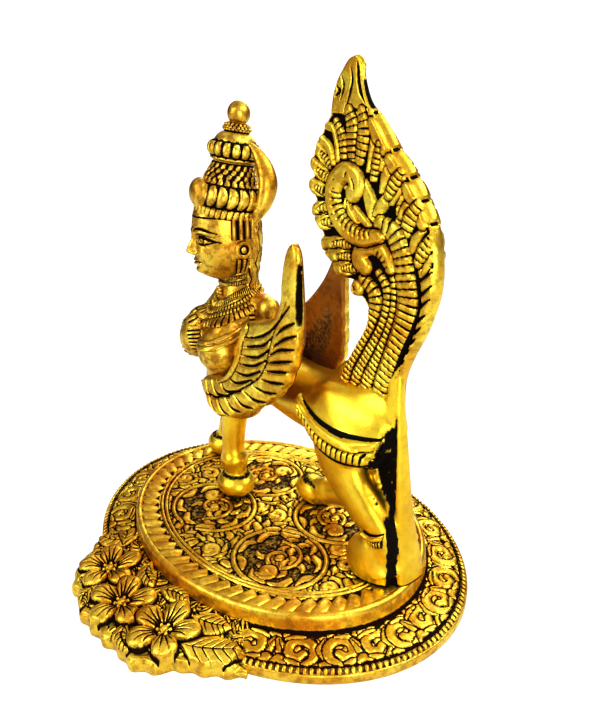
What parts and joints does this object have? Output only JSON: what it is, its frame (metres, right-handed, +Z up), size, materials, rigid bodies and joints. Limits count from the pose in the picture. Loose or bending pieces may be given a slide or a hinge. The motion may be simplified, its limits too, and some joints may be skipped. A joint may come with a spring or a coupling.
{
  "type": "kamadhenu cow statue",
  "caption": "Winged cow figure with a woman's crowned head and bust and a tall carved fan tail, standing on an oval plate with a raised dais and a flower spray.",
  "frame": {"origin": "middle of the whole part's plan box, at the underside", "axes": "+Z up, -Y the way the cow faces, +X the display side with the flower spray"},
  "size_m": [0.1148, 0.1302, 0.1426],
  "materials": {
    "plate_gold": "gold plated cast metal with a dark antique wash in the carving",
    "figure_gold": "gold plated cast metal, polished on the high places, dark in the grooves"
  },
  "bodies": {
    "root": {"base_plate": "plate_gold", "kamadhenu_figure": "figure_gold"}
  },
  "joints": []
}
